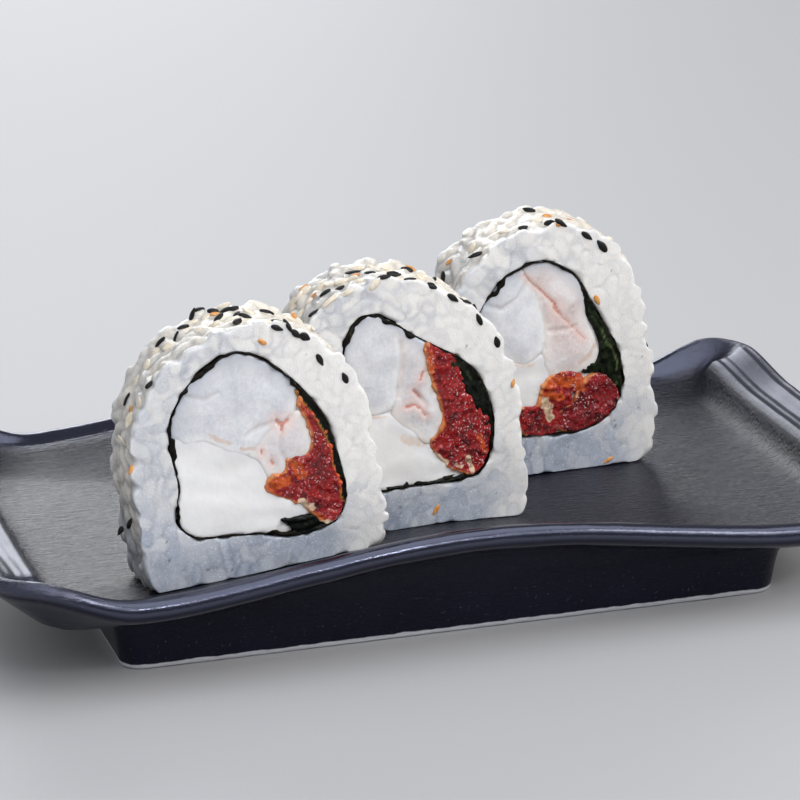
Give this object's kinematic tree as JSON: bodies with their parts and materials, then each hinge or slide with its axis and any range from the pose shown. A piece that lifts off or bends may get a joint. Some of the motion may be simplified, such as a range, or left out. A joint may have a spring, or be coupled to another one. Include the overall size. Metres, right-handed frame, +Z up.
{
  "type": "uramaki sushi pieces on a plate",
  "caption": "Cut rice-outside sushi roll pieces with sesame, seaweed and soft fillings, standing on a footed rectangular glazed plate.",
  "frame": {"origin": "middle of the plate's bounding box in plan, at the height of the foot's bottom", "axes": "+X along the plate's long side, +Y away from the cut faces that show, +Z up"},
  "size_m": [0.176, 0.096, 0.0652],
  "materials": {
    "glaze": "satin dark glaze, unglazed at the foot's lower edge",
    "rice": "moist cooked rice with sesame",
    "nori": "thin moist seaweed sheet",
    "leaf": "dark green leaf, glossy",
    "shrimp_large": "cooked shrimp, translucent white",
    "shrimp_small": "cooked shrimp, pinkish",
    "tomato": "red, wet and granular",
    "cream_cheese": "smooth white"
  },
  "bodies": {
    "root": {"plate": "glaze", "rice_1": "rice", "rice_2": "rice", "rice_3": "rice", "nori_1": "nori", "nori_2": "nori", "nori_3": "nori", "leaf_1": "leaf", "leaf_2": "leaf", "leaf_3": "leaf", "shrimp_large_1": "shrimp_large", "shrimp_large_2": "shrimp_large", "shrimp_large_3": "shrimp_large", "shrimp_small_1": "shrimp_small", "shrimp_small_2": "shrimp_small", "shrimp_small_3": "shrimp_small", "tomato_1": "tomato", "tomato_2": "tomato", "tomato_3": "tomato", "tomato_round_3": "tomato", "cream_cheese_1": "cream_cheese", "cream_cheese_2": "cream_cheese", "cream_cheese_3": "cream_cheese"}
  },
  "joints": []
}
